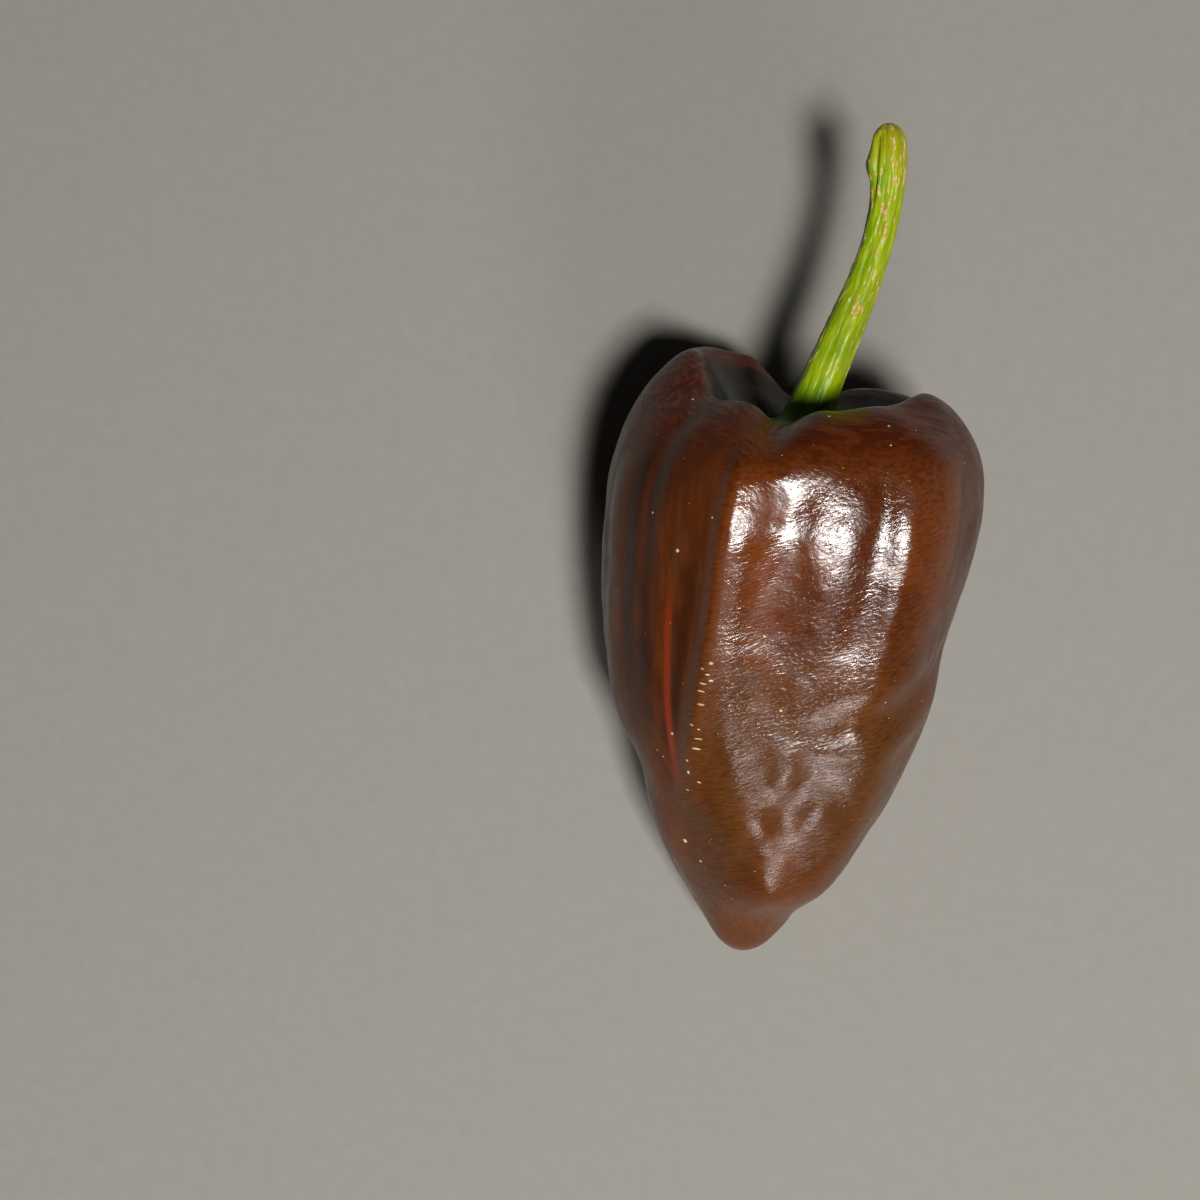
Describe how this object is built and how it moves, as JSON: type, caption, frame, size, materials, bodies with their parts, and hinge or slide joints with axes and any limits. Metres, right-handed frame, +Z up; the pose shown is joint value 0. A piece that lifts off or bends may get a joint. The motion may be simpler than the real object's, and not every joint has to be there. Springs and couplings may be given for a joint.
{
  "type": "chilli pepper",
  "caption": "Ripe chilhuacle negro chilli lying on its side: a blocky, lobed, dark brown pod that tapers to a blunt tip, with its green calyx and curved stem.",
  "frame": {"origin": "bottom centre of the bounding box: below the middle of the pod and stem, on the surface that the pod lies on", "axes": "+Z up; +Y from the pod's tip towards its stem, along the pod's axis, whose crown is tipped up 9.5 degrees; +X to the right when the pod is seen from above with its stem at the top"},
  "size_m": [0.0536, 0.1202, 0.0513],
  "materials": {
    "pod_skin": "waxy gloss, finely wrinkled",
    "stem_skin": "satin, ridged lengthways"
  },
  "bodies": {
    "root": {"pod": "pod_skin", "stem_and_calyx": "stem_skin"}
  },
  "joints": []
}
